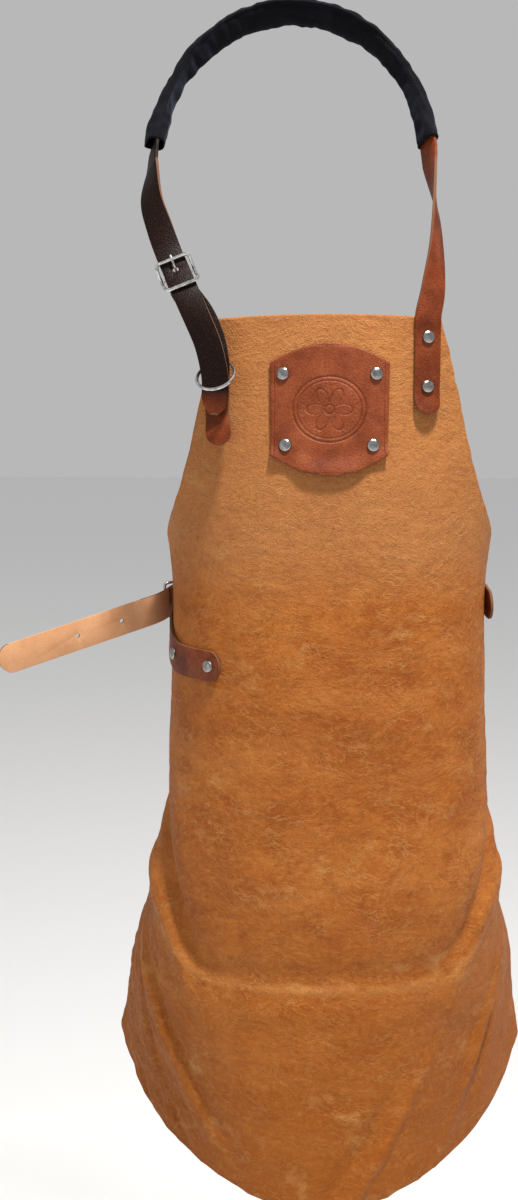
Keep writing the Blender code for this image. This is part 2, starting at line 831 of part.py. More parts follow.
def waist_matrix():
    """Buckle frame on the left side: +Y runs backwards along the strap, +Z outward."""
    s = -WAIST_BUCKLE_S
    z = waist_height(s)
    outer = outward(s, z)
    point = on_panel(s, z, WAIST_BUCKLE_LIFT)
    ahead = on_panel(s + 0.004, waist_height(s + 0.004), WAIST_BUCKLE_LIFT) - point
    backward = -(ahead - outer * ahead.dot(outer)).normalized()
    return axis_matrix(point, outer, side=backward.cross(outer)), outer, backward


def build_waist_tab(panel, matrix):
    """From its riveted front end round the left side to the fold on the buckle's bar."""
    fold = fold_stations(matrix, 0.014)
    tail = fold[-1][0]
    stations = []
    for s in np.linspace(WAIST_FRONT_S, WAIST_BUCKLE_S - 0.020, 30):
        z = waist_height(s)
        stations.append((on_panel(-s, z, ON_PANEL), outward(-s, z)))
    ahead = (stations[-1][0] - stations[-2][0]).normalized()
    stations.append((stations[-1][0].lerp(tail, 0.5) + ahead * 0.001, stations[-1][1]))
    stations += [(p, n) for p, n in fold[::-1]]
    strap = ribbon("waist_tab", same_side(stations), rounds=(0.0135, 0.0), width=WAIST_WIDTH)
    finish_object(strap, STRAP_LEATHER)
    fold_slot("waist", matrix, strap)
    lift = ON_PANEL + STRAP_THICK / 2 + 0.0003
    for label, s in (("front", WAIST_FRONT_S + 0.013), ("rear", WAIST_FRONT_S + 0.075)):
        rivet("waist_tab_rivet_" + label, -s, waist_height(s), lift, holes=(panel, strap))
    return strap


def back_height(part):
    """Height of the waist strap behind the body, from the panel's right edge to its left."""
    side_z = WAIST_RIGHT_Z + WAIST_SIDE_CLIMB
    return side_z + (WAIST_BACK_Z - side_z) * sin(pi * part)


def back_arc(lift, z, count):
    """Strap path behind the body, from the panel's right edge to its left one."""
    edge = on_panel(SKIRT_HALF, z, lift)
    angle = turn_at(SKIRT_HALF, z)
    middle_x = (edge.x + on_panel(-SKIRT_HALF, z, lift).x) / 2
    radius = (edge.x - middle_x) / sin(angle)
    middle = Vector((middle_x, edge.y + radius * cos(angle), 0))
    found = []
    for k in range(count):
        a = angle + (2 * pi - 2 * angle) * k / (count - 1)
        ray = Vector((sin(a), -cos(a), 0))
        found.append((middle + ray * radius + Vector((0, 0, back_height(k / (count - 1)))), ray))
    return found


def right_height(s):
    """Height of the waist strap on the panel's right side."""
    return WAIST_RIGHT_Z + WAIST_SIDE_CLIMB * (s - WAIST_RIGHT_S) / (SKIRT_HALF - WAIST_RIGHT_S)


def bridge(start, end, leave, arrive, count):
    """Stations of a smooth curve between two others, without the two themselves."""
    span = (end[0] - start[0]).length
    a, d = start[0], end[0]
    b = a + leave * span / 3
    c = d - arrive * span / 3
    found = []
    for k in range(1, count):
        t = k / count
        u = 1 - t
        point = a * u**3 + b * 3 * u * u * t + c * 3 * u * t * t + d * t**3
        found.append((point, (Vector(start[1]) * u + Vector(end[1]) * t).normalized()))
    return found


def build_waist_strap(panel, matrix):
    """From the rivets at the right side round the back, over the buckle's bar."""
    stations = []
    for s in np.linspace(WAIST_RIGHT_S, SKIRT_HALF - 0.004, 14):
        bulge = 0.006 * max(1 - (s - WAIST_RIGHT_S) / 0.026, 0) ** 2
        z = right_height(s)
        stations.append((on_panel(s, z, WAIST_ON_PANEL + bulge), outward(s, z)))
    arc = back_arc(WAIST_ON_PANEL, WAIST_RIGHT_Z, 40)
    stations += arc[:-3]
    outer = matrix.to_3x3() @ Vector((0, 0, 1))
    gap_start, gap_end = arc[-4], (matrix @ Vector((0, 0.015, 0)), outer)
    leave = (arc[-4][0] - arc[-5][0]).normalized()
    arrive = matrix.to_3x3() @ Vector((0, -1, 0))
    stations += bridge(gap_start, gap_end, leave, arrive, 8)
    for y in (-0.015, -0.009, -0.003, 0.003, 0.009, TAIL_HINGE_Y - 0.0008):
        stations.append((matrix @ Vector((0, -y, 0)), outer))
    strap = ribbon("waist_strap", same_side(stations), rounds=(0.0125, 0.0), width=WAIST_WIDTH)
    finish_object(strap, STRAP_LEATHER)
    lift = WAIST_ON_PANEL + STRAP_THICK / 2 + 0.0003
    for label, s in (("front", WAIST_RIGHT_S + 0.034), ("rear", WAIST_RIGHT_S + 0.074)):
        rivet("waist_strap_rivet_" + label, s, right_height(s), lift, holes=(panel, strap))
    return strap


def tail_path(matrix):
    """Middle line of the free tail: a bend away from the body, then nearly straight."""
    start = matrix @ Vector((0, -TAIL_HINGE_Y - 0.0008, 0))
    turned = matrix.to_3x3()
    ahead = turned @ Vector((0, -1, 0))
    heading = atan2(ahead.y, ahead.x)
    heading -= 2 * pi if heading > 0 else 0
    dip = atan2(ahead.z, sqrt(ahead.x**2 + ahead.y**2))
    path = [start]
    step = 0.0035
    length = 0.0
    while length < TAIL_LENGTH:
        part = min(length / TAIL_BEND, 1)
        ease = part * part * (3 - 2 * part)
        course = heading + (TAIL_HEADING - heading) * ease
        fall = dip + (-TAIL_FALL - dip) * ease
        path.append(path[-1] + Vector((cos(course), sin(course), tan(fall))).normalized() * step)
        length += step
    return path


def build_tail(matrix):
    path = tail_path(matrix)
    outer = matrix.to_3x3() @ Vector((0, 0, 1))
    stations = []
    for i, point in enumerate(path):
        along = (path[min(i + 1, len(path) - 1)] - path[max(i - 1, 0)]).normalized()
        side = Vector((0, 0, 1))
        face = side.cross(along).normalized()
        if face.dot(outer) < 0 and i == 0:
            face = -face
        stations.append((point, face))
    tail = ribbon("waist_strap_tail", same_side(stations), rounds=(0.0, 0.013), width=WAIST_WIDTH)
    set_origin(tail, matrix @ Vector((0, -TAIL_HINGE_Y, 0)))
    finish_object(tail, TAN_LEATHER)
    for k, distance in enumerate(TAIL_HOLES):
        i = int(distance / 0.0035)
        cutter = cylinder_cutter(f"tail_hole_{k}", path[i], stations[i][1], 0.0021, 0.010)
        cut(tail, cutter)
    return tail


BUCKLE_OUTER = facing(-1, radians(BUCKLE_TURN))
BUCKLE_OUTER = (BUCKLE_OUTER - BUCKLE_DOWN * BUCKLE_OUTER.dot(BUCKLE_DOWN)).normalized()

ARCH_CENTRE = arch_centre()


def neck_matrix():
    """Neck buckle frame: local +Y runs up the strap and +Z outward."""
    return axis_matrix(NECK_BUCKLE, BUCKLE_OUTER, side=(-BUCKLE_DOWN).cross(BUCKLE_OUTER))


clear_scene()
APRON, CUTTERS = make_collections()
PANEL = build_panel()
build_patch(PANEL)
NECK_STRAP = build_neck_strap(PANEL)
build_pad()
NECK_MATRIX = neck_matrix()
build_buckle("neck", NECK_MATRIX, FRAME_HALF_WIDTH)
prong_hole("neck", NECK_MATRIX, NECK_STRAP)
build_neck_buckle_strap(PANEL, NECK_MATRIX)
build_ring()
WAIST_MATRIX, _, _ = waist_matrix()
build_buckle("waist", WAIST_MATRIX, WAIST_FRAME_HALF_WIDTH)
build_waist_tab(PANEL, WAIST_MATRIX)
prong_hole("waist", WAIST_MATRIX, build_waist_strap(PANEL, WAIST_MATRIX))
build_tail(WAIST_MATRIX)
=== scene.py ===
"""Looks of the leather apron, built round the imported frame. Metres, +Z up, front faces -Y."""

from math import cos, pi, radians, sin

import bmesh
import bpy
import numpy as np
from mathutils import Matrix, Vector


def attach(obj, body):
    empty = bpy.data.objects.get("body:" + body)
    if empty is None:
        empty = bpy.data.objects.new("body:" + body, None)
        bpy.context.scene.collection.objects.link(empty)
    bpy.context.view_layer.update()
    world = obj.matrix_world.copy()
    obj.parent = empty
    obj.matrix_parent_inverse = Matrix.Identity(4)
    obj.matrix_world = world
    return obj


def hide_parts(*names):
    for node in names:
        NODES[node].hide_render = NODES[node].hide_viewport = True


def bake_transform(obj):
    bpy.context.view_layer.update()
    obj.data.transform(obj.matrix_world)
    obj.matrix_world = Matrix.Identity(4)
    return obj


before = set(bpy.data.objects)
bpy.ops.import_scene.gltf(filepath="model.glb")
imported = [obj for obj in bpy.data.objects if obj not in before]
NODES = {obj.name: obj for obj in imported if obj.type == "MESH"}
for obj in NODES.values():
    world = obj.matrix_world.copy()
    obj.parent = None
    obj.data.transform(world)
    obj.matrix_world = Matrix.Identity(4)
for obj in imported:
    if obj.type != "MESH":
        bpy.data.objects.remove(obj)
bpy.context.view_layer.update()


# ---------------------------------------------------------------- measures

CAMERA_PLACE = (0.038, -1.6224, -0.3167)
CAMERA_DROP = radians(8.8102127)
CAMERA_TURN = radians(2.4849284)
CAMERA_LENS = 48.4

PANEL_X = 0.038
PANEL_Y = -0.122
PANEL_THICK = 0.0024
BIB_TOP = -0.288
BIB_TOP_HALF = 0.104
BIB_HEIGHT = 0.250
BIB_BOW = 0.004
SKIRT_HALF = 0.310
HEM = -1.132
HEM_BOW = 0.017
CORNER_HEIGHT = 0.082
CORNER_INSET = 0.221
# Below this height the skirt drifts sideways, and by all of it this much further down
DRIFT_FROM = -0.80
DRIFT_OVER = 0.20
PANEL_DRIFT = -0.007
RAGGED = 0.0007
# Height, depth of the middle, turn at the side, onset and ease of the wrap round the body
WRAP_LEVELS = (
    (-0.287, 0.000, 85, 1.30, 1.0),
    (-0.437, -0.012, 122, 1.32, 1.0),
    (-0.547, -0.010, 147, 1.38, 1.0),
    (-0.717, -0.015, 140, 1.38, 1.0),
    (-0.847, -0.018, 102, 1.45, 1.3),
    (-0.937, -0.015, 76, 1.50, 2.2),
    (-1.137, -0.030, 53, 1.00, 3.0),
)
# The flat cut's UV is the distance from the middle and the height, moved to be positive
FLAT_SHIFT = (0.5, 1.5)

FOLD_HEIGHT = -0.929
# Side, distance from the middle and depth of the valleys that run down to the crease
VALLEYS = ((-1, 0.150, 0.0175), (1, 0.158, 0.0140))
# Distance from the middle, height, width, rise and slant of the ridges and dips below the crease
DIAGONALS = (
    (0.200, -1.000, 0.010, 0.0035, 0.55),
    (0.228, -0.985, 0.012, -0.0030, 0.45),
    (0.060, -1.100, 0.008, 0.0028, 0.62),
    (0.036, -1.096, 0.010, -0.0020, 0.60),
    (-0.205, -0.985, 0.011, 0.0030, -0.80),
    (-0.240, -0.995, 0.009, -0.0024, -0.75),
    (-0.172, -1.000, 0.010, -0.0024, -0.80),
)
DIAGONAL_GAIN = 1.7
# Left, right, bottom and top of the places that patch, straps and waist tab lie on
COVERED = (
    (-0.058, 0.058, -0.435, -0.305),
    (0.074, 0.108, -0.372, -0.280),
    (-0.125, -0.050, -0.420, -0.280),
    (-0.290, -0.100, -0.640, -0.540),
    (0.185, 0.310, -0.590, -0.535),
)
# Share of the folds that is left where something lies on the leather
HELD_SHARE = 0.12

PATCH_HALF = 0.0545
PATCH_HEIGHT = 0.084
PATCH_BOW = 0.018
PATCH_MIDDLE = -0.371
PATCH_THICK = 0.0024
PATCH_LIFT = PANEL_THICK / 2 + 0.0005 + PATCH_THICK / 2
STAMP_DEPTH = 0.0011
LIP_CURL = 0.0042

STRAP_WIDTH = 0.025
STRAP_ROUND = 0.0005
TAIL_ROUND = 0.0004
SHARP_ANGLE = radians(50)
# A face smaller than this with two sharp sides belongs to a strap's cut edge
EDGE_FACE_AREA = 2.6e-5

LOOP_HALF_WIDTH = 0.131
LOOP_HEIGHT = 0.163
LOOP_LEAN = radians(22)
BAND_CANT = radians(62)
LEFT_END_CANT = radians(118)
LEFT_TWIST_FROM = radians(45)
ARCH_END = radians(88)
ARCH_CENTRE = np.array((0, -0.05725, -0.14766))
ARCH_UP = np.array((0, sin(LOOP_LEAN), cos(LOOP_LEAN)))
ARCH_BACK = np.array((0, cos(LOOP_LEAN), -sin(LOOP_LEAN)))
ARCH_SIDE = np.array((1.0, 0, 0))

PAD_END = radians(80.75)
PAD_LENGTH = 0.42
PAD_STATIONS = 131
PAD_SIDES = 30
SLEEVE_HALF_WIDTH = 0.0305 / 2 - 0.0012
SLEEVE_HALF_THICK = 0.0095 / 2 - 0.0006
SLEEVE_WALL = 0.0011
SLEEVE_UNEVEN = 0.00012
# Share of its thickness by which the sleeve gapes at its left and its right end
LEFT_OPENING = 1.15
RIGHT_OPENING = 0.45
# How much narrower than the sleeve the strap in it is kept
STRAP_CLEARANCE = 0.0090
STUFFING_STEPS = 16
MOST_SINK = 0.0009
MOST_SWELL = 0.0022
MOST_SLIP = 0.0012

TAIL_HINGE = Vector((-0.12672, 0.02212, -0.57452))
# From the hinge back along the strap into the buckle
TAIL_BACKWARD = Vector((0.43984, 0.87422, 0.20565))
# Points this near to the hinge are the tail's cap, which reaches back into the fixed strap
TAIL_CAP_DEPTH = 0.0012
TAIL_REACH = 0.00155

FLOOR_HEIGHT = -1.62


# ---------------------------------------------------------------- helpers


def link(obj):
    bpy.context.scene.collection.objects.link(obj)
    return obj


def mesh_piece(name, verts, faces):
    mesh = bpy.data.meshes.new(name)
    mesh.from_pydata([tuple(v) for v in verts], [], faces)
    mesh.validate()
    mesh.shade_smooth()
    return link(bpy.data.objects.new(name, mesh))


def grid_faces(rows, columns):
    """Faces of a grid of rows + 1 by columns + 1 points."""
    faces = []
    for i in range(rows):
        for j in range(columns):
            a = i * (columns + 1) + j
            faces.append((a, a + columns + 1, a + columns + 2, a + 1))
    return faces


def apply_modifiers(obj):
    """Replaces the object's mesh with what its modifiers make of it."""
    bpy.context.view_layer.update()
    graph = bpy.context.evaluated_depsgraph_get()
    made = bpy.data.meshes.new_from_object(obj.evaluated_get(graph))
    obj.modifiers.clear()
    obj.data = made


def thicken(sheet, thickness, back_slot, rim_slot):
    """Gives a sheet its thickness, half to each side, and the material slots of back and rim."""
    wall = sheet.modifiers.new("thickness", "SOLIDIFY")
    wall.thickness = thickness
    wall.offset = 0
    wall.material_offset = back_slot
    wall.material_offset_rim = rim_slot
    apply_modifiers(sheet)


def smoothstep(t):
    t = np.clip(t, 0, 1)
    return t * t * (3 - 2 * t)


def hump(x, middle, width):
    return np.exp(-(((x - middle) / width) ** 2))


def lattice_noise(x, y, seed):
    """Smooth noise from -1 to 1 over the plane, one cell to the unit."""
    size = 128
    table = np.random.default_rng(seed).uniform(-1, 1, (size, size))
    xi = np.floor(x).astype(int)
    yi = np.floor(y).astype(int)
    fx = smoothstep(x - xi)
    fy = smoothstep(y - yi)
    a = table[xi % size, yi % size]
    b = table[(xi + 1) % size, yi % size]
    c = table[xi % size, (yi + 1) % size]
    d = table[(xi + 1) % size, (yi + 1) % size]
    return (a * (1 - fx) + b * fx) * (1 - fy) + (c * (1 - fx) + d * fx) * fy


def layered_noise(x, y, seed):
    """Three layers of noise, each twice as fine and half as strong as the one before."""
    total = 0
    for k in range(3):
        total = total + lattice_noise(x * 2**k + 11.3 * k, y * 2**k + 7.9 * k, seed + k) / 2**k
    return total / (1 + 1 / 2 + 1 / 4)


# ---------------------------------------------------------------- materials


class Nodes:
    """Short way to wire a material's nodes."""

    def __init__(self, name):
        self.material = bpy.data.materials.new(name)
        self.material.use_nodes = True
        self.tree = self.material.node_tree
        self.shader = self.tree.nodes["Principled BSDF"]

    def add(self, kind, **settings):
        node = self.tree.nodes.new(kind)
        for key, value in settings.items():
            setattr(node, key, value)
        return node

    def wire(self, source, target):
        self.tree.links.new(source, target)

    def feed(self, socket, value):
        """Sets a socket to a number or a colour, or wires an output to it."""
        if isinstance(value, (int, float)):
            socket.default_value = value
        elif isinstance(value, tuple):
            socket.default_value = (*value, 1)
        else:
            self.wire(value, socket)

    def coords(self, scale=(1, 1, 1), flat=False):
        """Coordinates in metres times the scale: the flat cut's, or the object's own."""
        texture = self.add("ShaderNodeTexCoord")
        mapping = self.add("ShaderNodeMapping")
        mapping.inputs["Scale"].default_value = scale
        self.wire(texture.outputs["UV" if flat else "Object"], mapping.inputs["Vector"])
        return mapping.outputs["Vector"]

    def split(self, vector):
        node = self.add("ShaderNodeSeparateXYZ")
        self.wire(vector, node.inputs[0])
        return node.outputs

    def noise(self, vector, scale, detail=3, roughness=0.55, distortion=0.0):
        node = self.add("ShaderNodeTexNoise")
        node.inputs["Scale"].default_value = scale
        node.inputs["Detail"].default_value = detail
        node.inputs["Roughness"].default_value = roughness
        node.inputs["Distortion"].default_value = distortion
        self.wire(vector, node.inputs["Vector"])
        return node.outputs["Fac"]

    def cells(self, vector, scale, smooth):
        node = self.add("ShaderNodeTexVoronoi", feature="SMOOTH_F1")
        node.inputs["Scale"].default_value = scale
        node.inputs["Smoothness"].default_value = smooth
        self.wire(vector, node.inputs["Vector"])
        return node.outputs["Distance"]

    def ramp(self, value, stops):
        """stops lists (position, grey or colour)."""
        node = self.add("ShaderNodeValToRGB")
        elements = node.color_ramp.elements
        for k, (position, colour) in enumerate(stops):
            element = elements[k] if k < 2 else elements.new(position)
            element.position = position
            if isinstance(colour, (int, float)):
                colour = (colour, colour, colour)
            element.color = (*colour, 1)
        self.wire(value, node.inputs["Fac"])
        return node.outputs["Color"]

    def math(self, operation, a, b):
        node = self.add("ShaderNodeMath", operation=operation)
        self.feed(node.inputs[0], a)
        self.feed(node.inputs[1], b)
        return node.outputs[0]

    def mix(self, factor, a, b):
        node = self.add("ShaderNodeMix", data_type="RGBA")
        sockets = {s.identifier: s for s in node.inputs}
        self.feed(sockets["Factor_Float"], factor)
        self.feed(sockets["A_Color"], a)
        self.feed(sockets["B_Color"], b)
        return next(s for s in node.outputs if s.identifier == "Result_Color")

    def tint(self, base, value, start, end, most, colour):
        """Base turning to the colour as the value goes from start to end, by most at the end."""
        return self.mix(self.ramp(value, [(start, 0.0), (end, most)]), base, colour)

    def bump(self, height, strength, distance, before=None):
        node = self.add("ShaderNodeBump")
        node.inputs["Strength"].default_value = strength
        node.inputs["Distance"].default_value = distance
        self.wire(height, node.inputs["Height"])
        if before is not None:
            self.wire(before, node.inputs["Normal"])
        return node.outputs["Normal"]

    def out(self, colour, roughness, normal=None, **values):
        for key, value in values.items():
            self.shader.inputs[key.replace("_", " ")].default_value = value
        self.feed(self.shader.inputs["Base Color"], colour)
        self.feed(self.shader.inputs["Roughness"], roughness)
        if normal is not None:
            self.wire(normal, self.shader.inputs["Normal"])
        return self.material


def shade(colour, share):
    return tuple(c * share for c in colour)


def flat_height(z):
    """The flat cut's V at a height."""
    return z + FLAT_SHIFT[1]


def drawn_coords(n, flat):
    """The flat cut's coordinates, bent a little, turned and drawn out as a hide's wrinkles are."""
    bend = 0.034
    slant = 0.32
    stretch = 0.68
    warp = n.add("ShaderNodeTexNoise")
    warp.inputs["Scale"].default_value = 14
    warp.inputs["Detail"].default_value = 2
    n.wire(flat, warp.inputs["Vector"])
    bent = n.add("ShaderNodeVectorMath", operation="MULTIPLY_ADD")
    n.wire(warp.outputs["Color"], bent.inputs[0])
    bent.inputs[1].default_value = (bend, bend, 0)
    n.wire(flat, bent.inputs[2])
    turned = n.add("ShaderNodeMapping")
    turned.inputs["Rotation"].default_value = (0, 0, slant)
    turned.inputs["Scale"].default_value = (stretch, 1, 1)
    n.wire(bent.outputs[0], turned.inputs["Vector"])
    return turned.outputs["Vector"]


def fold_wear(n, flat, place):
    """Mask of the worn line along the skirt's crease, which climbs towards both sides."""
    climb_from = 0.135
    climb = 0.68
    ragged = n.math("MULTIPLY", n.noise(flat, 40, 4, 0.65), 0.012)
    height = n.math("ADD", place["Y"], ragged)
    aside = n.math("ABSOLUTE", n.math("SUBTRACT", place["X"], FLAT_SHIFT[0]), 0.0)
    aside = n.math("MAXIMUM", n.math("SUBTRACT", aside, climb_from), 0.0)
    height = n.math("SUBTRACT", height, n.math("MULTIPLY", aside, climb))
    fold = flat_height(FOLD_HEIGHT)
    return n.ramp(height, [(fold - 0.001, 0.0), (fold + 0.0055, 0.50), (fold + 0.012, 0.0)])


def cognac_leather():
    """Pull-up grain: orange brown, crazed with fine wrinkles and paler where it has bent."""
    n = Nodes("cognac_leather")
    flat = n.coords(flat=True)
    drawn = drawn_coords(n, flat)
    place = n.split(flat)
    deep = (0.285, 0.072, 0.008)
    middle = (0.40, 0.112, 0.013)
    light = (0.50, 0.168, 0.028)
    base = n.ramp(n.noise(flat, 8, 4, 0.62), [(0.30, deep), (0.50, middle), (0.72, light)])
    stain = n.noise(flat, 34, 4, 0.62)
    base = n.tint(base, stain, 0.44, 0.66, 0.80, (0.29, 0.066, 0.006))
    bands = n.noise(n.coords((0.30, 1, 1), flat=True), 26, 4, 0.6, 0.3)
    base = n.tint(base, bands, 0.50, 0.70, 0.50, (0.55, 0.20, 0.045))
    low = n.ramp(place["Y"], [(flat_height(-1.14), 0.70), (flat_height(-0.84), 0.0)])
    base = n.mix(low, base, (0.305, 0.082, 0.0035))
    base = n.mix(fold_wear(n, flat, place), base, (0.56, 0.26, 0.075))
    high = (flat_height(-0.56), flat_height(-0.34))
    base = n.tint(base, place["Y"], *high, 0.55, (0.53, 0.235, 0.085))

    creased = n.ramp(n.noise(flat, 17, 4, 0.62), [(0.40, 0.10), (0.64, 1.0)])
    line = n.ramp(n.noise(drawn, 62, 3, 0.60, 0.15), [(0.472, 0.0), (0.500, 1.0), (0.528, 0.0)])
    wrinkle = n.math("MULTIPLY", line, creased)
    base = n.mix(n.math("MULTIPLY", wrinkle, 0.38), base, (0.62, 0.33, 0.11))
    streak = n.noise(drawn, 250, 6, 0.74, 0.5)
    pale_streak = n.ramp(streak, [(0.48, 0.0), (0.62, 1.0)])
    base = n.mix(n.math("MULTIPLY", pale_streak, 0.30), base, (0.58, 0.25, 0.06))
    base = n.mix(n.ramp(streak, [(0.34, 0.42), (0.46, 0.0)]), base, (0.24, 0.058, 0.006))
    base = n.mix(n.math("MULTIPLY", low, 0.5), base, (0.30, 0.074, 0.003))
    rub = n.noise(drawn, 26, 5, 0.66)
    base = n.tint(base, rub, 0.58, 0.74, 0.62, (0.60, 0.31, 0.10))
    grain = n.cells(flat, 900, 0.35)
    base = n.tint(base, grain, 0.25, 0.75, 0.30, (0.23, 0.058, 0.006))

    normal = n.bump(n.ramp(grain, [(0.1, 1.0), (0.8, 0.0)]), 0.5, 0.0005)
    normal = n.bump(streak, 0.62, 0.0023, normal)
    normal = n.bump(wrinkle, 0.40, 0.0011, normal)
    normal = n.bump(n.noise(drawn, 75, 3, 0.55), 0.45, 0.0030, normal)
    rough = n.ramp(n.noise(flat, 30, 3), [(0.3, 0.52), (0.7, 0.70)])
    return n.out(base, rough, normal, Specular_IOR_Level=0.19)


def suede(name, dark, pale):
    """Flesh side of a hide: matte, with short nap."""
    n = Nodes(name)
    own = n.coords()
    nap = n.noise(own, 900, 4, 0.7)
    base = n.tint(dark, n.noise(own, 24, 4, 0.6), 0.35, 0.68, 1.0, pale)
    base = n.mix(n.ramp(nap, [(0.35, 0.35), (0.65, 0.0)]), base, shade(dark, 0.6))
    base = n.tint(base, n.noise(own, 260, 3, 0.6), 0.66, 0.74, 0.5, shade(dark, 0.55))
    normal = n.bump(nap, 0.5, 0.0004)
    return n.out(base, 0.92, normal, Specular_IOR_Level=0.2, Sheen_Weight=0.15)


def paint_left_leg_shade(n, own, base, dark, fleck):
    """Paints shade on the neck loop's left leg: the strap turns near black there as painted shade,
    except near its free tip.
    """
    tip_height = -0.375
    place = n.split(own)
    # Painted shade: near black, flecked with the middle colour
    painted_shade = n.tint(dark, n.noise(own, 760, 3, 0.6), 0.58, 0.76, 0.36, fleck)
    leftward = n.math("MULTIPLY", place["X"], -20.0)
    above_tip = n.math("MULTIPLY", n.math("SUBTRACT", place["Z"], tip_height), 40.0)
    reach = n.math("MINIMUM", leftward, above_tip)
    return n.tint(base, reach, 0.35, 0.85, 1.0, painted_shade)


def strap_leather(name, dark, middle, pale, left_leg_shade=None):
    """Vegetable-tanned strap, pebbled and scuffed; the left-leg colour, when given, is painted
    shade on the neck loop's left leg.
    """
    n = Nodes(name)
    own = n.coords()
    base = n.ramp(n.noise(own, 38, 4, 0.6), [(0.32, dark), (0.55, middle), (0.78, pale)])
    grain = n.cells(own, 850, 0.3)
    base = n.tint(base, grain, 0.3, 0.8, 0.45, shade(dark, 0.5))
    base = n.tint(base, n.noise(own, 120, 5, 0.7, 0.8), 0.60, 0.70, 0.4, pale)
    specular = 0.22
    if left_leg_shade is not None:
        base = paint_left_leg_shade(n, own, base, left_leg_shade, middle)
        specular = 0.12
    normal = n.bump(n.ramp(grain, [(0.1, 1.0), (0.8, 0.0)]), 0.6, 0.0004)
    normal = n.bump(n.noise(own, 190, 3), 0.4, 0.0006, normal)
    rough = n.ramp(n.noise(own, 60, 3), [(0.3, 0.42), (0.7, 0.60)])
    return n.out(base, rough, normal, Specular_IOR_Level=specular)


def cut_edge(name, colour):
    """Raw, fibrous cut edge."""
    n = Nodes(name)
    fibre = n.noise(n.coords(), 1400, 4, 0.7)
    base = n.tint(shade(colour, 0.62), fibre, 0.35, 0.7, 1.0, colour)
    return n.out(base, 0.85, n.bump(fibre, 0.5, 0.0003), Specular_IOR_Level=0.2)


def pad_fabric():
    """Close black woven cover with a faint blue cast."""
    n = Nodes("black_woven_cover")
    own = n.coords()
    threads = n.add("ShaderNodeTexWave", wave_type="BANDS", bands_direction="DIAGONAL")
    threads.inputs["Scale"].default_value = 420
    threads.inputs["Distortion"].default_value = 1.2
    n.wire(own, threads.inputs["Vector"])
    black = (0.0014, 0.0012, 0.0018)
    base = n.tint(black, n.noise(own, 45, 3, 0.6), 0.4, 0.7, 1.0, (0.0036, 0.0035, 0.0058))
    lint = n.noise(own, 640, 3, 0.6)
    base = n.tint(base, lint, 0.62, 0.75, 0.5, (0.016, 0.017, 0.026))
    normal = n.bump(threads.outputs["Fac"], 0.35, 0.0004)
    normal = n.bump(n.noise(own, 150, 3), 0.4, 0.0010, normal)
    return n.out(
        base,
        0.75,
        normal,
        Specular_IOR_Level=0.08,
        Sheen_Weight=0.09,
        Sheen_Tint=(0.55, 0.62, 0.9, 1),
    )


def nickel(name, roughness, bright=1.0):
    """Polished nickel with hairline scratches and dulled patches."""
    n = Nodes(name)
    own = n.coords()
    dull = shade((0.20, 0.20, 0.19), bright)
    clean = shade((0.48, 0.47, 0.46), bright)
    base = n.ramp(n.noise(own, 260, 4, 0.65), [(0.3, dull), (0.7, clean)])
    hair = n.noise(n.coords((1, 9, 1)), 900, 3, 0.7)
    rough = n.ramp(n.noise(own, 420, 3), [(0.35, roughness), (0.7, roughness + 0.16)])
    return n.out(base, rough, n.bump(hair, 0.12, 0.0002), Metallic=1.0)


COGNAC = cognac_leather()
FLESH = suede("apron_flesh_side", (0.27, 0.145, 0.068), (0.38, 0.215, 0.105))
PANEL_EDGE = cut_edge("apron_cut_edge", (0.22, 0.085, 0.035))
RED_BROWN = ((0.11, 0.020, 0.006), (0.205, 0.042, 0.012), (0.30, 0.078, 0.026))
# Near black: painted shade for the neck loop's left leg and its buckle strap
LEFT_LEG_SHADE = (0.0075, 0.0026, 0.0016)
STRAP = strap_leather("strap_leather", *RED_BROWN)
NECK_STRAP = strap_leather("neck_strap_leather", *RED_BROWN, left_leg_shade=LEFT_LEG_SHADE)
STRAP_EDGE = cut_edge("strap_cut_edge", (0.20, 0.092, 0.050))
RUSSET = ((0.17, 0.032, 0.008), (0.27, 0.060, 0.017), (0.36, 0.100, 0.036))
PATCH = strap_leather("patch_leather", *RUSSET)
TAIL = suede("natural_flesh_side", (0.56, 0.27, 0.125), (0.72, 0.39, 0.205))
PAD = pad_fabric()
RIVET_METAL = nickel("rivet_nickel", 0.16)
RING_METAL = nickel("ring_nickel", 0.10, 1.7)
BUCKLE_METAL = nickel("buckle_nickel", 0.20, 1.8)


# ---------------------------------------------------------------- apron panel


def wrap_row(z):
    """Tables of distance from the middle, x and y at one height."""
    levels = np.array(WRAP_LEVELS)[::-1]
    near = z + np.linspace(-0.03, 0.03, 7)
    depth, turn, onset, ease = [
        float(np.interp(near, levels[:, 0], levels[:, i]).mean()) for i in range(1, 5)
    ]
    s = np.linspace(0, SKIRT_HALF * 1.01, 260)
    angle = radians(turn) * (1 - (1 - np.minimum(s / SKIRT_HALF, 1) ** onset) ** ease)
    x = np.concatenate([[0], np.cumsum((np.cos(angle[1:]) + np.cos(angle[:-1])) / 2 * s[1])])
    y = np.concatenate([[0], np.cumsum((np.sin(angle[1:]) + np.sin(angle[:-1])) / 2 * s[1])])
    return s, x, depth + y


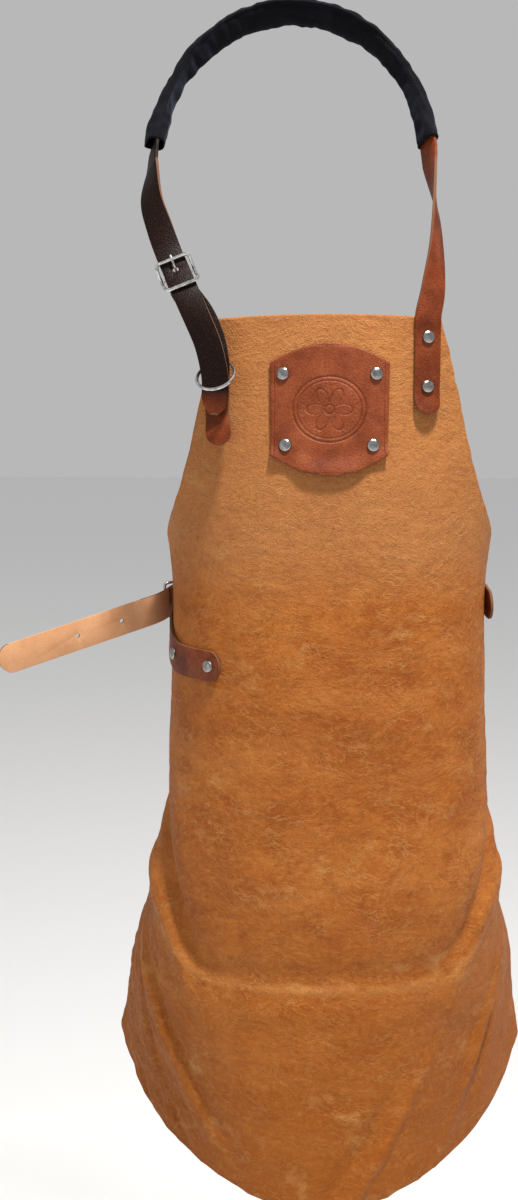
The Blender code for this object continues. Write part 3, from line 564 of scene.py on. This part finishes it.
def surface(s, z):
    """Points of the panel's plain wrap for arrays of distance from the middle and height."""
    heights = np.linspace(z.min(), z.max(), 300)
    rows = [wrap_row(h) for h in heights]
    grid_s = np.linspace(0, SKIRT_HALF, 200)
    table_x = np.array([np.interp(grid_s, r[0], r[1]) for r in rows])
    table_y = np.array([np.interp(grid_s, r[0], r[2]) for r in rows])
    at_z = (z - heights[0]) / (heights[-1] - heights[0]) * (len(heights) - 1)
    at_s = np.abs(s) / SKIRT_HALF * (len(grid_s) - 1)
    zi = np.clip(at_z.astype(int), 0, len(heights) - 2)
    si = np.clip(at_s.astype(int), 0, len(grid_s) - 2)
    fz = at_z - zi
    fs = at_s - si

    def pick(table):
        low = table[zi, si] * (1 - fs) + table[zi, si + 1] * fs
        high = table[zi + 1, si] * (1 - fs) + table[zi + 1, si + 1] * fs
        return low * (1 - fz) + high * fz

    drift = PANEL_DRIFT * np.clip((DRIFT_FROM - z) / DRIFT_OVER, 0, 1)
    found = np.zeros(s.shape + (3,))
    found[..., 0] = PANEL_X + drift + np.sign(s) * pick(table_x)
    found[..., 1] = PANEL_Y + pick(table_y)
    found[..., 2] = z
    return found


def surface_normals(points):
    across = np.gradient(points, axis=1)
    down = np.gradient(points, axis=0)
    normal = np.cross(down, across)
    return normal / np.linalg.norm(normal, axis=2, keepdims=True)


def panel_half_width(z):
    down = np.clip((BIB_TOP - z) / BIB_HEIGHT, 0, 1)
    half = BIB_TOP_HALF + (SKIRT_HALF - BIB_TOP_HALF) * (0.36 * down + 0.64 * down**6)
    above = np.clip((z - HEM) / CORNER_HEIGHT, 0, 1)
    return half - CORNER_INSET * (1 - above**0.6)


def crease_line(s):
    """Height of the crease: nearly level across the front, climbing towards both sides."""
    line = FOLD_HEIGHT + 0.004 * np.sin(s * 16) + 0.0014 * lattice_noise(s * 30, s * 0, 3)
    aside = np.clip(np.abs(s) - 0.105, 0, 0.14)
    return line + 0.72 * aside * smoothstep(aside / 0.09)


def crease(s, z, line):
    """Narrow ridge on the line, shallow hollow above it, step below it and rims at both sides."""
    front = 1 - smoothstep((np.abs(s) - 0.22) / 0.08)
    rise = 0.0007 * hump(z, line - 0.001, 0.0030) * front
    rise -= 0.0026 * hump(z, line + 0.013, 0.014) * front
    rise += 0.0024 * smoothstep((line + 0.004 - z) / 0.03) * front
    rim = smoothstep((np.abs(s) - 0.13) / 0.03) * (1 - smoothstep((np.abs(s) - 0.24) / 0.05))
    return rise + 0.0032 * rim * hump(z, line - 0.012, 0.013)


def valley(s, z, line, side, centre, depth):
    """One valley that slants down to the crease, with a low swell on its outer side."""
    run = smoothstep((-0.690 - z) / 0.17) * smoothstep((z - line + 0.002) / 0.045)
    middle = centre + 0.50 * np.clip(z + 0.925, 0, 0.25)
    swell = 0.12 * hump(side * s, middle + 0.042, 0.021)
    return depth * run * (swell - hump(side * s, middle, 0.024))


def folds(s, z):
    """How far the leather stands out from its plain wrap, as the folds of storage and wear."""
    line = crease_line(s)
    rise = crease(s, z, line)
    for side, centre, depth in VALLEYS:
        rise += valley(s, z, line, side, centre, depth)
    below = smoothstep((line - z) / 0.02)
    for along, across, width, height, slant in DIAGONALS:
        off = (s - along) - (z - across) * slant
        rise += DIAGONAL_GAIN * height * below * hump(off, 0, width) * hump(z, across, 0.075)
    low = smoothstep((-0.45 - z) / 0.2)
    rise += 0.0011 * low * layered_noise(s * 14, z * 24, 21)
    rise += 0.0016 * below * layered_noise(s * 22, z * 20, 31)
    rise += 0.00045 * layered_noise(s * 75, z * 130, 41)
    rough_left = below * smoothstep((-s - 0.10) / 0.06)
    rise += 0.0016 * rough_left * layered_noise((s + z * 0.8) * 95, (s - z) * 26, 51)
    return rise


def bare(s, z):
    """0 where something lies on the leather, 1 from 20 mm away."""
    share = np.ones_like(s)
    for left, right, bottom, top in COVERED:
        ds = np.maximum(np.maximum(left - s, s - right), 0)
        dz = np.maximum(np.maximum(bottom - z, z - top), 0)
        share = np.minimum(share, smoothstep(np.hypot(ds, dz) / 0.02))
    return share


def panel_cut(rows, columns):
    """Distance from the middle and height of the panel's points: bowed ends, ragged sides."""
    down = np.linspace(0, 1, rows + 1)[:, None]
    across = np.linspace(-1, 1, columns + 1)[None, :]
    z = BIB_TOP + (HEM - BIB_TOP) * down
    bulge = 1 - across**2
    bow = BIB_BOW * (1 - down) ** 8 * bulge - HEM_BOW * down**12 * bulge
    side = np.sign(across) * 3.0
    ragged = RAGGED * lattice_noise(down * 90 + 0 * across, side + 0 * down, 5)
    s = (panel_half_width(z) + ragged * (np.abs(across) > 0.99)) * across
    return s, z + bow


def lay_out_flat(panel, s, z):
    """Writes the flat cut's coordinates as the panel's UV."""
    flat = np.stack([s.ravel() + FLAT_SHIFT[0], z.ravel() + FLAT_SHIFT[1]], axis=1)
    index = np.zeros(len(panel.data.loops), dtype=np.int32)
    panel.data.loops.foreach_get("vertex_index", index)
    layer = panel.data.uv_layers.new(name="flat_cut")
    layer.data.foreach_set("uv", flat[index].ravel().astype(np.float32))


def build_panel():
    rows = 420
    columns = 300
    s, z = panel_cut(rows, columns)
    points = surface(s, z)
    lift = folds(s, z) * (HELD_SHARE + (1 - HELD_SHARE) * bare(s, z))
    points = points + surface_normals(points) * lift[..., None]
    panel = mesh_piece("apron_leather", points.reshape(-1, 3), grid_faces(rows, columns))
    lay_out_flat(panel, s, z)
    for material in (COGNAC, FLESH, PANEL_EDGE):
        panel.data.materials.append(material)
    thicken(panel, PANEL_THICK, 1, 2)
    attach(panel, "apron")
    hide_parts("apron_panel")


# ---------------------------------------------------------------- patch


def stamp(x, z):
    """Depth pressed by the stamp: a six-leaved rosette, an oval band round rays, and a border."""
    oval = np.hypot(x / 0.0335, z / 0.0300)
    pressed = hump(oval, 1.0, 0.035) + 0.8 * hump(oval, 0.88, 0.022)
    radius = np.hypot(x, z)
    angle = np.arctan2(z, x)
    leaf = 0.021 * np.abs(np.cos(3 * angle)) ** 0.6
    pressed += 0.9 * hump(radius, leaf, 0.0011) * (radius > 0.003)
    pressed += 0.7 * hump(radius, 0.0042, 0.0010)
    rays = np.abs(np.sin(18 * angle)) < 0.30
    ray_ring = smoothstep((0.80 - oval) / 0.03) * smoothstep((oval - 0.70) / 0.03)
    pressed += 0.55 * rays * ray_ring
    border = np.maximum(np.abs(x) / (PATCH_HALF - 0.0042), np.abs(z) / 0.058)
    pressed += 0.35 * hump(border, 1.0, 0.012)
    return np.clip(pressed, 0, 1.2)


def build_patch():
    rows = 260
    columns = 230
    across = np.linspace(-1, 1, columns + 1)[None, :] + np.zeros((rows + 1, 1))
    up = np.linspace(1, -1, rows + 1)[:, None] + np.zeros((1, columns + 1))
    z = PATCH_MIDDLE + up * PATCH_HEIGHT / 2 + PATCH_BOW * (1 - across**2) * up
    s = PATCH_HALF * across * (1 - 0.012 * (1 - up))
    edge = np.maximum(np.abs(across), np.abs(up))
    held_by_rivets = hump(np.abs(across), 0.72, 0.22)
    curl = smoothstep((-up - 0.62) / 0.38) ** 1.5 * (1 - 0.75 * held_by_rivets)
    lift = PATCH_LIFT - 0.0005 * smoothstep((edge - 0.97) / 0.03)
    lift -= STAMP_DEPTH * stamp(s, z - PATCH_MIDDLE)
    lift += LIP_CURL * curl
    lift += 0.00018 * layered_noise(s * 210, z * 210, 61)
    points = surface(s, z)
    points = points + surface_normals(points) * lift[..., None]
    patch = mesh_piece("bib_patch", points.reshape(-1, 3), grid_faces(rows, columns))
    patch.data.materials.append(PATCH)
    patch.data.materials.append(STRAP_EDGE)
    thicken(patch, PATCH_THICK, 0, 1)
    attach(patch, "apron")
    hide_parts("logo_patch")


# ---------------------------------------------------------------- neck band


def arch(angle):
    """Middle of the neck band at an angle from the crown, with its ways outward and across."""
    sideways = ARCH_SIDE * LOOP_HALF_WIDTH * sin(angle)
    point = ARCH_CENTRE + sideways + ARCH_UP * LOOP_HEIGHT * cos(angle)
    radial = ARCH_SIDE * LOOP_HEIGHT * sin(angle) + ARCH_UP * LOOP_HALF_WIDTH * cos(angle)
    radial = radial / np.linalg.norm(radial)
    left = min(max((-angle - LEFT_TWIST_FROM) / (ARCH_END - LEFT_TWIST_FROM), 0), 1)
    cant = BAND_CANT + (LEFT_END_CANT - BAND_CANT) * left
    outer = ARCH_BACK * cos(cant) + radial * sin(cant)
    across = radial * cos(cant) - ARCH_BACK * sin(cant)
    return point, outer, across


def pad_fullness(angle):
    """Share of its full width that the sleeve keeps: it is drawn in towards both sides."""
    side = abs(angle) / PAD_END
    drawn = hump(side, 0.70, 0.26)
    flare = 0.05 * smoothstep((side - 0.88) / 0.12)
    return float(0.97 - 0.20 * drawn + flare)


def draw_in_strap(shape):
    """Narrows the hidden stretch of neck strap, so that it keeps inside the sleeve."""
    count = 400
    margin = 4
    angles = np.linspace(-PAD_END, PAD_END, count)
    path = np.array([arch(a)[0] for a in angles])
    for vertex in shape.verts:
        place = np.array(vertex.co)
        k = int(np.argmin(((path - place) ** 2).sum(axis=1)))
        if k < margin or k >= count - margin:
            continue
        point, _, across = arch(angles[k])
        wide = float((place - point) @ across)
        room = 2 * SLEEVE_HALF_WIDTH * pad_fullness(angles[k]) - STRAP_CLEARANCE
        share = min(room / STRAP_WIDTH, 1)
        vertex.co = place - across * wide * (1 - share)


# ---------------------------------------------------------------- straps


def cad_shape(node):
    """The CAD piece's shape, its triangles joined where they lie nearly flat."""
    shape = bmesh.new()
    shape.from_mesh(NODES[node].data)
    bmesh.ops.remove_doubles(shape, verts=shape.verts, dist=2e-6)
    bmesh.ops.join_triangles(
        shape,
        faces=shape.faces,
        angle_face_threshold=radians(25),
        angle_shape_threshold=radians(50),
    )
    return shape


def is_sharp(edge):
    return len(edge.link_faces) == 2 and edge.calc_face_angle(0) > SHARP_ANGLE


def mark_cut_edges(shape):
    """Gives the second material to the narrow faces of a strap's cut edges."""
    shape.normal_update()
    for face in shape.faces:
        narrow = sum(is_sharp(edge) for edge in face.edges) >= 2
        face.material_index = 1 if narrow and face.calc_area() < EDGE_FACE_AREA else 0
        face.smooth = True


def leather_piece(name, shape, face_material, rounding):
    """The shape as an object with rounded edges, in its face's and its cut edge's material."""
    mesh = bpy.data.meshes.new(name)
    shape.to_mesh(mesh)
    shape.free()
    mesh.materials.append(face_material)
    mesh.materials.append(STRAP_EDGE)
    piece = link(bpy.data.objects.new(name, mesh))
    bevel = piece.modifiers.new("rounded", "BEVEL")
    bevel.width = rounding
    bevel.segments = 2
    bevel.limit_method = "ANGLE"
    bevel.angle_limit = radians(45)
    apply_modifiers(piece)
    return piece


def build_straps():
    for node, name, material in (
        ("neck_strap", "neck_strap_leather", NECK_STRAP),
        ("neck_buckle_strap", "buckle_strap_leather", NECK_STRAP),
        ("waist_tab", "waist_tab_leather", STRAP),
        ("waist_strap", "waist_strap_leather", STRAP),
    ):
        shape = cad_shape(node)
        mark_cut_edges(shape)
        if node == "neck_strap":
            draw_in_strap(shape)
        strap = leather_piece(name, shape, material, STRAP_ROUND)
        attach(strap, "apron")
        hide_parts(node)


def build_tail():
    """Free end of the waist strap: it leaves the strap without a gap."""
    shape = cad_shape("waist_strap_tail")
    for vertex in shape.verts:
        if (vertex.co - TAIL_HINGE).dot(TAIL_BACKWARD) > -TAIL_CAP_DEPTH:
            vertex.co += TAIL_BACKWARD * TAIL_REACH
    mark_cut_edges(shape)
    tail = leather_piece("waist_tail_leather", shape, TAIL, TAIL_ROUND)
    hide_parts("waist_strap_tail")
    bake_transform(tail)


# ---------------------------------------------------------------- neck pad


def pad_angle(station):
    return -PAD_END + 2 * PAD_END * station / (PAD_STATIONS - 1)


def sleeve_points():
    """Points of the empty sleeve, ring by ring from its left end, slightly uneven."""
    rng = np.random.default_rng(7)
    points = []
    for i in range(PAD_STATIONS):
        angle = pad_angle(i)
        point, outer, across = arch(angle)
        full = pad_fullness(angle)
        opening = LEFT_OPENING if angle < 0 else RIGHT_OPENING
        loose = 1 + opening * float(smoothstep((abs(angle) / PAD_END - 0.74) / 0.26))
        for k in range(PAD_SIDES):
            a = 2 * pi * k / PAD_SIDES
            wide = np.sign(cos(a)) * abs(cos(a)) ** 0.55 * SLEEVE_HALF_WIDTH * full
            thick = np.sign(sin(a)) * abs(sin(a)) ** 0.75 * SLEEVE_HALF_THICK * loose
            uneven = rng.normal(0, SLEEVE_UNEVEN, 3)
            points.append(point + across * wide + outer * thick + uneven)
    return np.array(points)


def sleeve_faces():
    faces = []
    for i in range(PAD_STATIONS - 1):
        for k in range(PAD_SIDES):
            a = i * PAD_SIDES + k
            b = i * PAD_SIDES + (k + 1) % PAD_SIDES
            faces.append((a, a + PAD_SIDES, b + PAD_SIDES, b))
    return faces


def stuff(pad):
    """Swells the cover with Cloth's pressure, shrinking it a little, its two ends held."""
    count = len(pad.data.vertices)
    ends = pad.vertex_groups.new(name="ends")
    ends.add([*range(PAD_SIDES), *range(count - PAD_SIDES, count)], 1, "ADD")
    cloth = pad.modifiers.new("cover_cloth", "CLOTH")
    settings = cloth.settings
    settings.quality = 6
    settings.mass = 0.25
    settings.tension_stiffness = 12
    settings.compression_stiffness = 12
    settings.shear_stiffness = 4
    settings.bending_stiffness = 0.12
    settings.vertex_group_mass = "ends"
    settings.shrink_min = -0.075
    settings.use_pressure = True
    settings.uniform_pressure_force = 1.2
    settings.effector_weights.gravity = 0
    cloth.collision_settings.use_self_collision = False
    for step in range(1, STUFFING_STEPS + 1):
        bpy.context.scene.frame_set(step)
    apply_modifiers(pad)
    bpy.context.scene.frame_set(1)


def gathers(station, a):
    """Rise of the pleats less the notches of the inner edge, at an angle round a ring."""
    u = station / (PAD_STATIONS - 1) * PAD_LENGTH
    pleat = 0.0010 * lattice_noise(u * 190, a * 0.7, 71)
    pleat += 0.0007 * lattice_noise(u * 90, a * 1.3, 73)
    notch = 0.0016 * max(float(lattice_noise(u * 75, 2.0, 79)), 0) * max(-cos(a), 0) ** 2
    return pleat - notch


def settle(pad, rest):
    """Limits how far each point has moved from rest, and adds the gathers."""
    moved = np.zeros(rest.size, dtype=np.float32)
    pad.data.vertices.foreach_get("co", moved)
    shift = moved.reshape(-1, 3).astype(float) - rest
    settled = rest.copy()
    for i in range(PAD_STATIONS):
        _, outer, across = arch(pad_angle(i))
        for k in range(PAD_SIDES):
            a = 2 * pi * k / PAD_SIDES
            away = outer * sin(a) + across * cos(a)
            away = away / np.linalg.norm(away)
            step = shift[i * PAD_SIDES + k]
            along = float(step @ away)
            slip = step - away * along
            size = np.linalg.norm(slip)
            if size > MOST_SLIP:
                slip = slip * MOST_SLIP / size
            swell = min(max(along, -MOST_SINK), MOST_SWELL)
            settled[i * PAD_SIDES + k] += away * (swell + gathers(i, a)) + slip
    pad.data.vertices.foreach_set("co", settled.astype(np.float32).ravel())


def build_pad():
    rest = sleeve_points()
    pad = mesh_piece("neck_pad_cover", rest, sleeve_faces())
    stuff(pad)
    settle(pad, rest)
    pad.data.materials.append(PAD)
    smooth = pad.modifiers.new("smooth", "SUBSURF")
    smooth.levels = 1
    smooth.render_levels = 1
    wall = pad.modifiers.new("wall", "SOLIDIFY")
    wall.thickness = SLEEVE_WALL
    wall.offset = -1
    apply_modifiers(pad)
    pad.data.shade_smooth()
    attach(pad, "apron")
    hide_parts("neck_pad")


# ---------------------------------------------------------------- metal


def dress_metal():
    """Gives the CAD's rivets, ring, frames and prongs their nickel."""
    for name, node in NODES.items():
        if "rivet" in name:
            metal = RIVET_METAL
        elif "ring" in name:
            metal = RING_METAL
        elif "buckle_frame" in name or "prong" in name:
            metal = BUCKLE_METAL
        else:
            continue
        node.data.materials.clear()
        node.data.materials.append(metal)


# ---------------------------------------------------------------- camera and stage


def make_camera():
    data = bpy.data.cameras.new("photo_camera")
    data.sensor_fit = "VERTICAL"
    data.sensor_height = 36
    data.lens = CAMERA_LENS
    data.clip_end = 30
    camera = link(bpy.data.objects.new("photo_camera", data))
    camera.location = CAMERA_PLACE
    camera.rotation_euler = (pi / 2 - CAMERA_DROP, 0, CAMERA_TURN)
    bpy.context.scene.camera = camera


def area_light(name, place, aim, size, power, colour):
    data = bpy.data.lights.new(name, "AREA")
    data.shape = "SQUARE"
    data.size = size
    data.energy = power
    data.color = colour
    light = link(bpy.data.objects.new(name, data))
    light.location = place
    light.rotation_euler = (Vector(aim) - Vector(place)).to_track_quat("-Z", "Y").to_euler()


def make_stage():
    bpy.ops.mesh.primitive_plane_add(size=30, location=(0, 0, FLOOR_HEIGHT))
    floor = bpy.context.active_object
    floor.name = "floor"
    floor.data.materials.append(Nodes("pale_floor").out((0.93, 0.93, 0.93), 0.9))
    world = bpy.data.worlds.new("studio")
    bpy.context.scene.world = world
    world.use_nodes = True
    sky = world.node_tree.nodes["Background"].inputs
    sky["Color"].default_value = (1, 1, 1, 1)
    sky["Strength"].default_value = 0.48
    area_light(
        "key",
        place=(0.55, -0.98, 2.1),
        aim=(0.03, -0.08, -0.60),
        size=0.28,
        power=135,
        colour=(1.0, 0.97, 0.93),
    )
    area_light(
        "fill",
        place=(-1.9, -1.8, -0.2),
        aim=(0.03, 0, -0.7),
        size=1.6,
        power=4,
        colour=(0.94, 0.97, 1.0),
    )
    bpy.context.scene.view_settings.view_transform = "Standard"


# ---------------------------------------------------------------- run

make_camera()
build_panel()
build_patch()
build_straps()
build_pad()
build_tail()
dress_metal()
make_stage()
